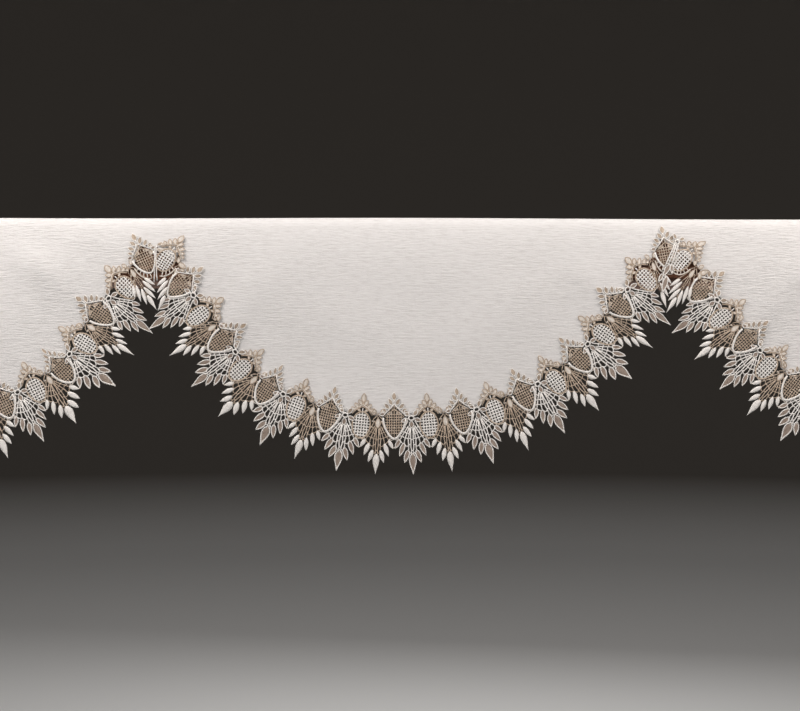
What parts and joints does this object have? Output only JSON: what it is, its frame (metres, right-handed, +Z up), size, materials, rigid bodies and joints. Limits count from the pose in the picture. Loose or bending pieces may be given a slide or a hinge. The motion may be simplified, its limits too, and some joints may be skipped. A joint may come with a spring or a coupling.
{
  "type": "mantel scarf on a mantel shelf",
  "caption": "Scalloped off-white cloth with a wide leaf-lace border, lying on a plain wooden mantel shelf and falling over its front edge.",
  "frame": {"origin": "centre of the shelf's back face, which sits against the wall", "axes": "+X along the shelf, +Y out of the shelf's back into the wall, +Z up"},
  "size_m": [2.44, 0.2458, 0.3893],
  "materials": {
    "shelf_wood": "satin",
    "scarf_cloth": "matt",
    "lace_yarn": "matt"
  },
  "bodies": {
    "root": {"mantel_shelf": "shelf_wood", "scarf_panel": "scarf_cloth", "lace_trim_left": "lace_yarn", "lace_trim_centre": "lace_yarn", "lace_trim_right": "lace_yarn"}
  },
  "joints": []
}
